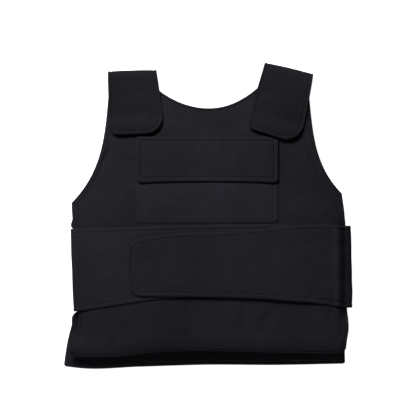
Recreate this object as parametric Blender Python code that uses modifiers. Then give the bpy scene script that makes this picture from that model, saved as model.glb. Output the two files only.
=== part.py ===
"""Stab vest lying flat on its back with its front up: a padded back panel and a padded front
panel, joined over the shoulders by two wide straps and round the waist by two wide bands that
lap over each other on the front, and a flapped pocket on the chest.

Metres, +Z up. The origin is on the floor, under the middle of the vest's outline. +Y runs from
the hem to the shoulders, and +X is to the right of someone who looks down at the front.
"""

import bmesh
import bpy
import numpy as np

# Thickness of each piece, and the air between two that touch
BACK_THICKNESS = 0.008
FRONT_THICKNESS = 0.009
POCKET_THICKNESS = 0.0026
FLAP_THICKNESS = 0.0024
STRAP_THICKNESS = 0.0035
BAND_THICKNESS = 0.003
GAP = 0.0004

# How the vest lies. The front panel's inner face stands this high along the middle of the vest,
# and falls to SIDE_HEIGHT at the sides as the power CROWN of the distance from the middle. The
# top band presses its right edge down by PRESSED.
LAY = (
    {"y": -0.280, "middle": 0.029},
    {"y": -0.120, "middle": 0.035},
    {"y": 0.060, "middle": 0.036},
    {"y": 0.150, "middle": 0.032},
    {"y": 0.200, "middle": 0.025},
    {"y": 0.265, "middle": 0.018},
)
SIDE_HEIGHT = 0.022
SIDE_DISTANCE = 0.262
CROWN = 2.6
PRESSED = 0.0088
PRESSED_IN_X = (0.2425, 0.2635)
PRESSED_IN_Y = (-0.214, -0.183, -0.022, 0.006)

# The back panel is flat on the floor, and rises this much where a band or a strap passes under it.
BED_RISE = 0.0045
BED_IN_X = (0.185, 0.212)
BAND_BED_IN_Y = (-0.225, -0.190, -0.005, 0.030)
STRAP_BED_IN_Y = (0.170, 0.200)

# Each panel's outline, seen from above. "sides" goes from the hem to the underarm corner. From
# there the armhole runs up to the shoulder: at a share t of the way down from the shoulder it is
# slant * t + scoop * t ** power further out.
BACK_PANEL = {
    "hem": (
        {"x": -0.274, "y": -0.2860},
        {"x": -0.240, "y": -0.2900},
        {"x": -0.130, "y": -0.2870},
        {"x": 0.000, "y": -0.2832},
        {"x": 0.130, "y": -0.2836},
        {"x": 0.262, "y": -0.2810},
    ),
    "sides": (
        {"y": -0.290, "left": -0.2745, "right": 0.2610},
        {"y": -0.264, "left": -0.2712, "right": 0.2600},
        {"y": -0.229, "left": -0.2648, "right": 0.2600},
        {"y": -0.207, "left": -0.2590, "right": 0.2600},
        {"y": -0.185, "left": -0.2535, "right": 0.2600},
        {"y": -0.180, "left": -0.2465, "right": 0.2598},
        {"y": -0.160, "left": -0.2450, "right": 0.2590},
        {"y": -0.100, "left": -0.2455, "right": 0.2575},
        {"y": -0.035, "left": -0.2475, "right": 0.2565},
        {"y": -0.0225, "left": -0.2495, "right": 0.2568},
        {"y": -0.0175, "left": -0.2560, "right": 0.2570},
        {"y": -0.005, "left": -0.2575, "right": 0.2580},
        {"y": 0.042, "left": -0.2600, "right": 0.2520},
    ),
    "corner_radius": (0.005, 0.005),
    "underarm_y": (0.0242, 0.0400),
    "armhole": (
        {"slant": 0.0190, "scoop": 0.0532, "power": 3.8},
        {"slant": 0.0171, "scoop": 0.0448, "power": 4.0},
    ),
    "neck_y": 0.195,
}
FRONT_PANEL = {
    "hem": (
        {"x": -0.262, "y": -0.2684},
        {"x": -0.163, "y": -0.2664},
        {"x": -0.116, "y": -0.2598},
        {"x": -0.070, "y": -0.2560},
        {"x": 0.020, "y": -0.2552},
        {"x": 0.130, "y": -0.2580},
        {"x": 0.264, "y": -0.2610},
    ),
    "sides": (
        {"y": -0.262, "left": -0.2635, "right": 0.2600},
        {"y": -0.242, "left": -0.2625, "right": 0.2620},
        {"y": -0.213, "left": -0.2490, "right": 0.2660},
        {"y": -0.185, "left": -0.2455, "right": 0.2640},
        {"y": -0.160, "left": -0.2455, "right": 0.2605},
        {"y": -0.030, "left": -0.2485, "right": 0.2580},
        {"y": 0.000, "left": -0.2495, "right": 0.2580},
        {"y": 0.044, "left": -0.2530, "right": 0.2526},
    ),
    "corner_radius": (0.017, 0.014),
    "underarm_y": (0.0242, 0.0423),
    "armhole": (
        {"slant": 0.0095, "scoop": 0.0550, "power": 3.8},
        {"slant": 0.0171, "scoop": 0.0456, "power": 4.0},
    ),
    "neck_y": 0.203,
}

# The shoulders, which the straps hide, and the neckline between them: it rises from its lowest
# point to the shoulder's inner end as the power NECK_POWER of the distance.
SHOULDER_OUTER = ({"x": -0.1873, "y": 0.2500}, {"x": 0.1900, "y": 0.2465})
SHOULDER_INNER = ({"x": -0.0980, "rise": 0.0360}, {"x": 0.1000, "rise": 0.0445})
NECK_X = 0.0018
NECK_POWER = 2.05

# Chest pocket and its flap, both sewn flat on the front panel
POCKET_X = (-0.1350, 0.1320)
POCKET_Y = (-0.0138, 0.1440)
POCKET_CORNER = 0.010
POCKET_TOP_SHARE = 0.35
FLAP_X = (-0.1355, 0.1345)
FLAP_Y = (0.0630, 0.1500)
FLAP_CORNER = 0.009
FLAP_STEP = 0.008

# Shoulder straps. Each one's fold is centred on (x, y) and turned by "fold" degrees, and the
# strap runs down from it at "lean" degrees from straight down. It widens up to the share
# "full_at" of its length, and its right edge is longer than its left one by the share "slant".
# Its far corners are rounded by the two radii in "corners". Its tip stands off the chest by
# "tip_lift", which grows between the two distances from the tip in TIP_LIFT_RUN.
STRAPS = {
    "shoulder_strap_left": {
        "x": -0.1443, "y": 0.2748, "fold": 1.7, "lean": 5.0, "length": 0.1217, "slant": 0.0,
        "fold_width": 0.0912, "end_width": 0.1025, "full_at": 0.7, "corners": (0.015, 0.036),
        "tip_lift": 0.0012,
    },
    "shoulder_strap_right": {
        "x": 0.1533, "y": 0.2793, "fold": -12.8, "lean": -13.1, "length": 0.1335, "slant": 0.07,
        "fold_width": 0.0933, "end_width": 0.1030, "full_at": 0.55, "corners": (0.008, 0.038),
        "tip_lift": 0.0046,
    },
}
STRAP_FOLD_DEPTH = 0.011
STRAP_FOLD_START = 90.0
STRAP_TAIL = 0.048
TIP_LIFT_RUN = (0.038, 0.014)

# Waist bands. Each one leaves the front panel at the line "fold" and goes out by "fold_depth",
# sloping down from the start at "fold_start" degrees from upright, and turns in under the back
# panel at "tail_fold_x". "edges" are its two edges on the front, and "lift" is the height that it
# lies above the front panel.
BANDS = {
    "side_band_under": {
        "fold": ({"x": -0.2462, "y": -0.1810}, {"x": -0.2520, "y": -0.0233}),
        "fold_depth": 0.0060,
        "fold_start": 90.0,
        "tail_fold_x": -0.2490,
        "tail_x": -0.2200,
        "end_x": 0.1670,
        "end_corners": (0.020, 0.020),
        "lift": 0.0,
        "edges": (
            {"x": -0.252, "lower": -0.1815, "upper": -0.0233},
            {"x": -0.175, "lower": -0.1700, "upper": -0.0206},
            {"x": -0.115, "lower": -0.1600, "upper": -0.0187},
            {"x": -0.080, "lower": -0.1555, "upper": -0.0180},
            {"x": 0.004, "lower": -0.1500, "upper": -0.0170},
            {"x": 0.170, "lower": -0.1480, "upper": -0.0165},
        ),
    },
    "side_band_top": {
        "fold": ({"x": 0.2616, "y": -0.1743}, {"x": 0.2586, "y": -0.0195}),
        "fold_depth": 0.0086,
        "fold_start": 48.0,
        "tail_fold_x": 0.2585,
        "tail_x": 0.2220,
        "end_x": -0.1530,
        "end_corners": (0.030, 0.024),
        "lift": BAND_THICKNESS + GAP,
        "edges": (
            {"x": -0.153, "lower": -0.1530, "upper": -0.0480},
            {"x": -0.110, "lower": -0.1532, "upper": -0.0395},
            {"x": -0.055, "lower": -0.1540, "upper": -0.0330},
            {"x": 0.045, "lower": -0.1560, "upper": -0.0300},
            {"x": 0.100, "lower": -0.1595, "upper": -0.0245},
            {"x": 0.155, "lower": -0.1637, "upper": -0.0185},
            {"x": 0.220, "lower": -0.1680, "upper": -0.0165},
            {"x": 0.260, "lower": -0.1743, "upper": -0.0190},
        ),
    },
}
LAP_STEP_X = (0.172, 0.200)

# Where the lines of a panel's grid lie, as shares of the way across and up. They crowd at the
# rim, which is sewn thinner: it loses these shares of the thickness on the rim and next to it.
NECK_FROM = 0.26
UNDERARM_AT = 0.55
RIM_LINES = (0.0, 0.010, 0.021, 0.033)
SHOULDER_LINES = (0.048, 0.090, 0.145, 0.200)
SIDE_LINES = (0.080, 0.136, 0.177, 0.187, 0.235, 0.295, 0.355, 0.410, 0.445, 0.467, 0.476, 0.510,
              UNDERARM_AT)
NECK_LINES = np.linspace(NECK_FROM, 1 - NECK_FROM, 11)
ARMHOLE_LINES = np.linspace(UNDERARM_AT, 0.925, 8)[1:]
RIM_UNDER = (0.22, 0.04)
RIM_OVER = (0.30, 0.07)

# Lines of a pocket's or a flap's grid: across, and up from its rounded corners, which have one
# more line at a share of their radius
PATCH_ACROSS = np.linspace(-0.5, 0.5, 13)
PATCH_UP = 8
PATCH_CORNER_LINE = 0.3

# Lines of a strip's grid: along its tail, round its fold, along its straight run, and at its
# rounded end, as shares of its larger corner's radius
TAIL_LINES = 4
FOLD_LINES = 9
STRAP_ACROSS = np.linspace(-0.5, 0.5, 7)
STRAP_STRAIGHT = 7
BAND_ACROSS = np.linspace(0.0, 1.0, 6)
BAND_STRAIGHT = np.concatenate([np.linspace(0.0, 0.060, 6), np.linspace(0.100, 1.0, 15)])
END_LINES = np.array([0.75, 0.5, 0.3, 0.15, 0.05, 0.0])

CLOTH_COLOUR = (0.021, 0.020, 0.025)
BACK_COLOUR = (0.019, 0.018, 0.023)
CLOTH_ROUGHNESS = 0.85


def curve_through(rows, key, column, at):
    """The smooth curve through a table's rows: cubic pieces whose slopes come from both sides."""
    x = np.array([row[key] for row in rows])
    y = np.array([row[column] for row in rows])
    slope = np.gradient(y, x)
    at = np.clip(at, x[0], x[-1])
    k = np.clip(np.searchsorted(x, at) - 1, 0, len(x) - 2)
    width = x[k + 1] - x[k]
    t = (at - x[k]) / width
    first = y[k] * (1 + 2 * t) + slope[k] * width * t
    last = y[k + 1] * (3 - 2 * t) + slope[k + 1] * width * (t - 1)
    return first * (1 - t) ** 2 + last * t**2


def ramp(value, low, high):
    """0 below low, 1 above high and a smooth climb between them."""
    t = np.clip((value - low) / (high - low), 0.0, 1.0)
    return t * t * (3 - 2 * t)


def drawn_in(distance, radius):
    """How far a rounded corner draws an edge in, this far from the edge that it meets."""
    rest = np.clip(radius - distance, 0.0, radius)
    return radius - np.sqrt(radius**2 - rest**2)


def under_front(plan):
    """Height of the front panel's inner face at points seen from above."""
    x, y = plan[..., 0], plan[..., 1]
    middle = curve_through(LAY, "y", "middle", y)
    fall = (np.abs(x) / SIDE_DISTANCE) ** CROWN
    start, full, last, end = PRESSED_IN_Y
    pressed = ramp(x, *PRESSED_IN_X) * ramp(y, start, full) * (1 - ramp(y, last, end))
    return SIDE_HEIGHT + (middle - SIDE_HEIGHT) * (1 - fall) - PRESSED * pressed


def over_front(plan):
    """Height of the lowest thing that can lie on the front panel, leaving out its thin rim."""
    return under_front(plan) + FRONT_THICKNESS + GAP


def under_back(plan):
    """Height of the back panel's outer face, which is down: 0, or BED_RISE over a band or strap."""
    x, y = plan[..., 0], plan[..., 1]
    start, full, last, end = BAND_BED_IN_Y
    at_waist = ramp(y, start, full) * (1 - ramp(y, last, end))
    return BED_RISE * np.maximum(ramp(np.abs(x), *BED_IN_X) * at_waist, ramp(y, *STRAP_BED_IN_Y))


def side_edge(panel, side, v):
    """A panel's side and armhole, from hem to shoulder, on side 0 (left) or 1 (right)."""
    out = (-1, 1)[side]
    column = ("left", "right")[side]
    radius = panel["corner_radius"][side]
    hem_y = curve_through(panel["hem"], "x", "y", panel["sides"][0][column])
    start_y = hem_y + radius * (1 - np.sqrt(0.5))
    y_side = start_y + (panel["underarm_y"][side] - start_y) * v / UNDERARM_AT
    x_side = curve_through(panel["sides"], "y", column, y_side)
    x_side = x_side - out * drawn_in(y_side - hem_y, radius)
    shoulder, hole = SHOULDER_OUTER[side], panel["armhole"][side]
    t = np.clip((1 - v) / (1 - UNDERARM_AT), 0.0, 1.0)
    x_hole = shoulder["x"] + out * (hole["slant"] * t + hole["scoop"] * t ** hole["power"])
    y_hole = shoulder["y"] + (panel["underarm_y"][side] - shoulder["y"]) * t
    below = v < UNDERARM_AT
    return np.dstack([np.where(below, x_side, x_hole), np.where(below, y_side, y_hole)])


def hem_edge(panel, u):
    """A panel's hem from left to right, between the middles of its rounded corners."""
    left, right = (panel["sides"][0][column] for column in ("left", "right"))
    radius_left, radius_right = panel["corner_radius"]
    start = left + radius_left * (1 - np.sqrt(0.5))
    end = right - radius_right * (1 - np.sqrt(0.5))
    x = start + (end - start) * u
    y = curve_through(panel["hem"], "x", "y", x)
    return np.dstack([x, y + drawn_in(x - left, radius_left) + drawn_in(right - x, radius_right)])


def neck_edge(panel, u):
    """A panel's left shoulder, neckline and right shoulder, from left to right."""
    left, right = SHOULDER_INNER
    along_neck = np.clip((u - NECK_FROM) / (1 - 2 * NECK_FROM), 0.0, 1.0)
    x = left["x"] + (right["x"] - left["x"]) * along_neck
    on_left = x < NECK_X
    reach = (x - NECK_X) / (np.where(on_left, left["x"], right["x"]) - NECK_X)
    rise = np.where(on_left, left["rise"], right["rise"])
    edge = np.dstack([x, panel["neck_y"] + rise * reach**NECK_POWER])
    for outer, inner, share in zip(SHOULDER_OUTER, SHOULDER_INNER, (u, 1 - u)):
        start = np.array([outer["x"], outer["y"]])
        end = np.array([inner["x"], panel["neck_y"] + inner["rise"]])
        shoulder = start + (end - start) * (share / NECK_FROM)[..., None]
        edge = np.where((share < NECK_FROM)[..., None], shoulder, edge)
    return edge


def panel_plan(panel):
    """A panel's grid seen from above: its four edges blended across each other."""
    rim = np.array(RIM_LINES)
    shoulder = np.concatenate([rim, SHOULDER_LINES])
    across = np.concatenate([shoulder, NECK_LINES, 1 - shoulder[::-1]])
    up = np.concatenate([rim, SIDE_LINES, ARMHOLE_LINES, 1 - rim[::-1]])
    u, v = np.meshgrid(across, up, indexing="ij")
    left, right = (side_edge(panel, which, v) for which in (0, 1))
    hem, neck = hem_edge(panel, u), neck_edge(panel, u)
    u, v = u[..., None], v[..., None]
    corners = (1 - u) * ((1 - v) * hem[0, 0] + v * neck[0, 0])
    corners = corners + u * ((1 - v) * hem[-1, 0] + v * neck[-1, 0])
    return (1 - v) * hem + v * neck + (1 - u) * left + u * right - corners


def rim_loss(shape, shares):
    """The share of its thickness that each grid point loses: two values, on the rim and next."""
    i, j = np.indices(shape)
    ring = np.minimum(np.minimum(i, shape[0] - 1 - i), np.minimum(j, shape[1] - 1 - j))
    return np.select([ring == 0, ring == 1], shares, 0.0)


def moved_grid(points):
    """A grid primitive moved to an array of points, and the column and row of each vertex."""
    columns, rows = points.shape[:2]
    build = bmesh.new()
    bmesh.ops.create_grid(build, x_segments=columns - 1, y_segments=rows - 1, size=0.5)
    flat = np.array([vertex.co for vertex in build.verts])
    column = np.rint((flat[:, 0] + 0.5) * (columns - 1)).astype(int)
    row = np.rint((flat[:, 1] + 0.5) * (rows - 1)).astype(int)
    for vertex, place in zip(build.verts, points[column, row]):
        vertex.co = place
    return build, (column, row)


def add_piece(name, build, material, collection):
    """Makes an object of a finished mesh build."""
    mesh = bpy.data.meshes.new(name)
    build.to_mesh(mesh)
    build.free()
    mesh.materials.append(material)
    mesh.shade_smooth()
    piece = bpy.data.objects.new(name, mesh)
    collection.objects.link(piece)
    return piece


def add_slab(name, plan, under, over, material, collection):
    """A padded or flat piece: a grid at its lower face, extruded up to its upper face."""
    build, order = moved_grid(np.dstack([plan, under]))
    top = build.verts.layers.float.new("top")
    for vertex, height in zip(build.verts, over[order]):
        vertex[top] = height
    raised = bmesh.ops.extrude_face_region(build, geom=build.faces[:])["geom"]
    for vertex in raised:
        if isinstance(vertex, bmesh.types.BMVert):
            vertex.co.z = vertex[top]
    bmesh.ops.recalc_face_normals(build, faces=build.faces)
    return add_piece(name, build, material, collection)


def fold_between(tail, top, outward, depth, start):
    """The rows round a fold, from a tail's last row to a top run's first one. Each half is part of
    an ellipse through the outermost line, and the upper one starts at an angle from upright."""
    start = np.radians(start)
    angle = np.linspace(-np.pi / 2, start, FOLD_LINES)[1:-1, None, None]
    low, high = tail[:, 2:], top[:, 2:]
    half = (high - low) / (1 + np.sin(start))
    outermost = top[:, :2] + depth * np.array(outward)
    drawn = 1 - np.cos(angle)
    above = outermost + (top[:, :2] - outermost) * drawn / (1 - np.cos(start))
    below = outermost + (tail[:, :2] - outermost) * drawn
    return np.dstack([np.where(angle > 0, above, below), low + half * (1 + np.sin(angle))])


def add_strip(name, tail, fold, top, thickness, material, collection):
    """A folded strip: its tail, its fold and its top run, as one grid on the side that touches
    the vest, thickened outwards."""
    build, _ = moved_grid(np.concatenate([tail, fold, top]))
    piece = add_piece(name, build, material, collection)
    wall = piece.modifiers.new("thickness", "SOLIDIFY")
    wall.thickness = thickness
    wall.offset = 1.0
    wall.use_even_offset = True
    return piece


def make_back(material, collection):
    """The back panel: flat on the floor, with a padded upper face that thins at the rim."""
    plan = panel_plan(BACK_PANEL)
    under = under_back(plan)
    over = under + BACK_THICKNESS * (1 - rim_loss(under.shape, RIM_OVER))
    return add_slab("back_panel", plan, under, over, material, collection)


def make_front(material, collection):
    """The front panel: crowned as it lies, and thinner at the rim on both faces."""
    plan = panel_plan(FRONT_PANEL)
    inner = under_front(plan)
    under = inner + FRONT_THICKNESS * rim_loss(inner.shape, RIM_UNDER)
    over = inner + FRONT_THICKNESS * (1 - rim_loss(inner.shape, RIM_OVER))
    return add_slab("front_panel", plan, under, over, material, collection)


def patch_plan(x_span, y_span, corner):
    """A rectangle's grid seen from above, with rounded lower corners."""
    height = y_span[1] - y_span[0]
    corner_lines = [0.0, PATCH_CORNER_LINE * corner]
    up = np.concatenate([corner_lines, np.linspace(corner, height, PATCH_UP)])
    share, up = np.meshgrid(PATCH_ACROSS, up, indexing="ij")
    width = x_span[1] - x_span[0] - 2 * drawn_in(up, corner)
    return np.dstack([sum(x_span) / 2 + share * width, y_span[0] + up])


def make_pocket(material, collection):
    """The pouch: two layers of cloth, thinner along the top, where the flap is sewn above it."""
    plan = patch_plan(POCKET_X, POCKET_Y, POCKET_CORNER)
    closed = ramp(plan[..., 1], POCKET_Y[1] - 2 * FLAP_STEP, POCKET_Y[1])
    under = over_front(plan)
    over = under + POCKET_THICKNESS * (1 - (1 - POCKET_TOP_SHARE) * closed)
    return add_slab("chest_pocket", plan, under, over, material, collection)


def make_flap(material, collection):
    """The flap: sewn down just above the pouch, it steps up and hangs over it."""
    plan = patch_plan(FLAP_X, FLAP_Y, FLAP_CORNER)
    hanging = 1 - ramp(plan[..., 1], POCKET_Y[1] - FLAP_STEP, FLAP_Y[1])
    under = over_front(plan) + (POCKET_THICKNESS + GAP) * hanging
    return add_slab("pocket_flap", plan, under, under + FLAP_THICKNESS, material, collection)


def make_strap(name, strap, material, collection):
    """A strap from under the back's shoulder, up round its fold and down the chest to its tip."""
    fold, lean = np.radians([strap["fold"], strap["lean"]])
    across = np.array([np.cos(fold), np.sin(fold)])
    down = np.array([np.sin(lean), -np.cos(lean)])
    length = strap["length"]
    start = STRAP_FOLD_DEPTH + STRAP_THICKNESS
    corner = max(strap["corners"])

    def plan(reaches):
        reach, share = np.meshgrid(reaches, STRAP_ACROSS, indexing="ij")
        grown = np.clip(reach / (strap["full_at"] * length), 0.0, 1.0)
        width = strap["fold_width"] + (strap["end_width"] - strap["fold_width"]) * grown
        left, right = (drawn_in(length - reach, radius) for radius in strap["corners"])
        offset = share * (width - left - right) + (left - right) / 2
        run = reach * (1 + strap["slant"] * share)
        centre = np.array([strap["x"], strap["y"]])
        return centre + offset[..., None] * across + run[..., None] * down, reach

    tail, _ = plan(np.linspace(STRAP_TAIL, start, TAIL_LINES))
    tail = np.dstack([tail, np.full(tail.shape[:2], GAP + STRAP_THICKNESS)])
    straight = np.linspace(start, length - corner, STRAP_STRAIGHT)
    top, reach = plan(np.concatenate([straight, length - corner * END_LINES]))
    lifted = strap["tip_lift"] * ramp(reach, *(length - run for run in TIP_LIFT_RUN))
    top = np.dstack([top, over_front(top) + lifted])
    fold = fold_between(tail[-1], top[0], -down, STRAP_FOLD_DEPTH, STRAP_FOLD_START)
    return add_strip(name, tail, fold, top, STRAP_THICKNESS, material, collection)


def make_band(name, band, material, collection):
    """A waist band from under the back's side, up round its fold and across the front."""
    out = np.sign(band["fold"][0]["x"])
    share = BAND_ACROSS[::int(-out)]
    fold_x, fold_y = (np.interp(share, [0.0, 1.0], [row[key] for row in band["fold"]])
                      for key in ("x", "y"))
    corner = max(band["end_corners"])
    square_x = band["end_x"] + out * corner
    straight = fold_x + (square_x - fold_x) * BAND_STRAIGHT[:, None]
    tip = band["end_x"] + out * corner * END_LINES[:, None] + 0 * share
    x = np.concatenate([straight, tip])
    edges = [curve_through(band["edges"], "x", column, x) for column in ("lower", "upper")]
    to_end = np.abs(x - band["end_x"])
    lower, upper = (edge + sign * drawn_in(to_end, radius) for edge, sign, radius in
                    zip(edges, (1, -1), band["end_corners"]))
    top = np.dstack([x, lower + (upper - lower) * share])
    lapped = band["lift"] * (1 - ramp(x, *LAP_STEP_X))
    top = np.dstack([top, over_front(top) + lapped])
    to_fold = np.linspace(0.0, 1.0, TAIL_LINES)[:, None]
    tail_x = band["tail_x"] + (band["tail_fold_x"] - band["tail_x"]) * to_fold + 0 * share
    tail_y = np.broadcast_to(top[0, :, 1], tail_x.shape)
    tail = np.dstack([tail_x, tail_y, np.full(tail_x.shape, GAP + BAND_THICKNESS)])
    fold = fold_between(tail[-1], top[0], (out, 0.0), band["fold_depth"], band["fold_start"])
    return add_strip(name, tail, fold, top, BAND_THICKNESS, material, collection)


def cloth(name, colour):
    """A plain woven cloth."""
    material = bpy.data.materials.new(name)
    material.use_nodes = True
    shader = material.node_tree.nodes["Principled BSDF"]
    shader.inputs["Base Color"].default_value = (*colour, 1.0)
    shader.inputs["Roughness"].default_value = CLOTH_ROUGHNESS
    shader.inputs["Metallic"].default_value = 0.0
    return material


def main():
    for item in list(bpy.data.objects):
        bpy.data.objects.remove(item, do_unlink=True)
    vest = bpy.data.collections.new("stab_vest")
    bpy.context.scene.collection.children.link(vest)
    make_back(cloth("back cloth", BACK_COLOUR), vest)
    make_front(cloth("front cloth", CLOTH_COLOUR), vest)
    make_pocket(cloth("pocket cloth", CLOTH_COLOUR), vest)
    make_flap(cloth("flap cloth", CLOTH_COLOUR), vest)
    strap_cloth = cloth("strap cloth", CLOTH_COLOUR)
    for name, strap in STRAPS.items():
        make_strap(name, strap, strap_cloth, vest)
    band_cloth = cloth("band cloth", CLOTH_COLOUR)
    for name, band in BANDS.items():
        make_band(name, band, band_cloth, vest)


main()
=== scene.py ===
# %% [markdown]
# # Dressing a stab vest round its CAD frame
# A stab vest is two padded panels, one for the chest and one for the back, held together by
# shoulder straps and waist bands of doubled cloth. This one lies on its back on a white floor.
# The CAD model already says where every piece is. Here each plain solid gets the cloth, the rolled
# edges and the stitching of the real thing. Everything is in metres, with +Y towards the shoulders.

import bpy
import numpy as np
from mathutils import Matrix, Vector


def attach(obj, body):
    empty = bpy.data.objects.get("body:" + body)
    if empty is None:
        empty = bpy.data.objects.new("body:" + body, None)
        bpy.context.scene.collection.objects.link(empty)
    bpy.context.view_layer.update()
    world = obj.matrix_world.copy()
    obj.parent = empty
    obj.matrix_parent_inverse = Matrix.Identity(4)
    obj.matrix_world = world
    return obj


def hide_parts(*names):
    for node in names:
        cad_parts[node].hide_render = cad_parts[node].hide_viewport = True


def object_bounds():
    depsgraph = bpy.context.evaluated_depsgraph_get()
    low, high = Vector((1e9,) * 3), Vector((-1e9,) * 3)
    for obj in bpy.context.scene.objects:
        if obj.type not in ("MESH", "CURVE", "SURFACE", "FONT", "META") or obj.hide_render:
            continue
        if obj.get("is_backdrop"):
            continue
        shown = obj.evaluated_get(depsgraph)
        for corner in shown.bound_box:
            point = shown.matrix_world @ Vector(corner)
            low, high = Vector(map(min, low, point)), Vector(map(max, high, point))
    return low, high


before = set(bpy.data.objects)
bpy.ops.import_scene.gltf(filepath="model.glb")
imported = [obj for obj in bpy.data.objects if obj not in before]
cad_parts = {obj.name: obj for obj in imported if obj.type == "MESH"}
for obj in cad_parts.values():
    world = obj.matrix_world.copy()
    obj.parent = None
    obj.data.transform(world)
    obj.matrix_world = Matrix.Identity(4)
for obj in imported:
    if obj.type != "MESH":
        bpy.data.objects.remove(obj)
cad_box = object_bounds()
print("CAD nodes:", ", ".join(sorted(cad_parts)))

# %% [markdown]
# ## Curves through a few measured points
# A sewing pattern is a handful of measured points joined by smooth lines. We could draw Bezier
# curves by hand, but a short table and a smooth curve through its rows is easier to correct later.

# %% Curves from tables


def table(columns, *rows):
    """Rows of values as dictionaries, by the names of their columns."""
    return [dict(zip(columns.split(), row)) for row in rows]


def curve_through(rows, key, column, at):
    """The smooth curve through a table's rows: cubic pieces whose slopes come from both sides."""
    x = np.array([row[key] for row in rows])
    y = np.array([row[column] for row in rows])
    slope = np.gradient(y, x)
    at = np.clip(at, x[0], x[-1])
    k = np.clip(np.searchsorted(x, at) - 1, 0, len(x) - 2)
    width = x[k + 1] - x[k]
    t = (at - x[k]) / width
    first = y[k] * (1 + 2 * t) + slope[k] * width * t
    last = y[k + 1] * (3 - 2 * t) + slope[k + 1] * width * (t - 1)
    return first * (1 - t) ** 2 + last * t**2


def ramp(value, low, high):
    """0 below low, 1 above high and a smooth climb between them: 3tt - 2ttt."""
    t = np.clip((value - low) / (high - low), 0.0, 1.0)
    return t * t * (3 - 2 * t)


def drawn_in(distance, radius):
    """How far a rounded corner draws an edge in: r - sqrt(rr - qq), with q the rest of r."""
    rest = np.clip(radius - distance, 0.0, radius)
    return radius - np.sqrt(radius**2 - rest**2)


# %% [markdown]
# ## How the vest lies
# With nobody in it, the chest panel sinks onto the back panel and keeps only a low arch. One table
# gives the height along the middle of the vest, and a power of the distance from the middle lets it
# fall to the sides. All other pieces rest on this surface, so it comes first.

# %% The resting surfaces
BACK_THICKNESS = 0.008
FRONT_THICKNESS = 0.009
POCKET_THICKNESS = 0.0026
STRAP_THICKNESS = 0.0035
BAND_THICKNESS = 0.003
GAP = 0.0004

LAY = table(
    "y middle",
    (-0.280, 0.029),
    (-0.120, 0.035),
    (0.060, 0.036),
    (0.150, 0.032),
    (0.200, 0.025),
    (0.265, 0.018),
)
SIDE_HEIGHT = 0.022
SIDE_DISTANCE = 0.262
CROWN = 2.6
PRESSED = 0.0088
PRESSED_IN_X = (0.2425, 0.2635)
PRESSED_IN_Y = (-0.214, -0.183, -0.022, 0.006)
BED_RISE = 0.0045
BED_IN_X = (0.185, 0.212)
BAND_BED_IN_Y = (-0.225, -0.190, -0.005, 0.030)
STRAP_BED_IN_Y = (0.170, 0.200)


def under_front(plan):
    """Height of the chest panel's inner face: from the middle's height it falls to the side's, as
    the power CROWN of the share of the way out, less what the top band presses down."""
    x, y = plan[..., 0], plan[..., 1]
    middle = curve_through(LAY, "y", "middle", y)
    fall = (np.abs(x) / SIDE_DISTANCE) ** CROWN
    start, full, last, end = PRESSED_IN_Y
    pressed = ramp(x, *PRESSED_IN_X) * ramp(y, start, full) * (1 - ramp(y, last, end))
    return SIDE_HEIGHT + (middle - SIDE_HEIGHT) * (1 - fall) - PRESSED * pressed


def under_back(plan):
    """Height of the back panel's lower face: the floor, or BED_RISE over a band or a strap."""
    x, y = plan[..., 0], plan[..., 1]
    start, full, last, end = BAND_BED_IN_Y
    at_waist = ramp(y, start, full) * (1 - ramp(y, last, end))
    return BED_RISE * np.maximum(ramp(np.abs(x), *BED_IN_X) * at_waist, ramp(y, *STRAP_BED_IN_Y))


print("arch in the middle:", round(float(under_front(np.zeros((1, 2)))[0]) * 1000, 1), "mm")

# %% [markdown]
# ## One way to make every piece
# Each piece of the vest is flat cloth before it is sewn: a grid of flat points with a border. Two
# things turn it into a solid: where the flat point lies in space, and how high the cloth stands
# above that place, on its outer and on its inner face. A cushion modifier or sculpting would give
# rounder forms, but no exact seams. Here both faces depend on the distance to the border, so rolled
# edges, grooves under the stitches and swelling pads all follow the outline by themselves.

# %% Flat grids, borders and distances
FLAT_STEP = 2e-4
AT_A_TIME = 3000


def crowded(count, share=0.88):
    """Shares from 0 to 1 that crowd at both ends: t minus a share of the sine of its turn."""
    t = np.linspace(0.0, 1.0, count)
    return t - share * np.sin(2 * np.pi * t) / (2 * np.pi)


def border_of(plan):
    """The closed line round a grid of flat points: its four sides, one after another."""
    return np.concatenate([plan[:-1, 0], plan[-1, :-1], plan[:0:-1, -1], plan[0, :0:-1]])


def away_from(line, points):
    """Distance from each flat point to a closed line: the least over the line's segments."""
    run = np.roll(line, -1, axis=0) - line
    length = np.maximum((run**2).sum(-1), 1e-14)
    flat = points.reshape(-1, 2)
    away = np.empty(len(flat))
    for start in range(0, len(flat), AT_A_TIME):
        to = flat[start:start + AT_A_TIME, None] - line
        share = np.clip((to * run).sum(-1) / length, 0.0, 1.0)
        away[start:start + AT_A_TIME] = np.sqrt(((to - share[..., None] * run) ** 2).sum(-1).min(1))
    return away.reshape(points.shape[:-1])


def inside_line(line, inset):
    """A line this far inside a closed one: its points moved along the inward normal, without those
    that come nearer than that to another stretch of it."""
    run = np.roll(line, -1, axis=0) - np.roll(line, 1, axis=0)
    after = np.roll(line, -1, axis=0)
    turn = np.sign((line[:, 0] * after[:, 1] - line[:, 1] * after[:, 0]).sum())
    inward = turn * np.stack([-run[:, 1], run[:, 0]], axis=-1)
    inward /= np.maximum(np.linalg.norm(inward, axis=-1, keepdims=True), 1e-9)
    moved = line + inset * inward
    return moved[away_from(line, moved) > 0.98 * inset]


def evenly(line, pitch):
    """Points a pitch apart along a line and back to its start, by the running length."""
    line = np.concatenate([line, line[:1]])
    along = np.concatenate([[0.0], np.cumsum(np.linalg.norm(np.diff(line, axis=0), axis=-1))])
    at = np.arange(0.5 * pitch, along[-1], pitch)
    return np.stack([np.interp(at, along, line[:, k]) for k in range(line.shape[1])], axis=-1)


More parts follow.
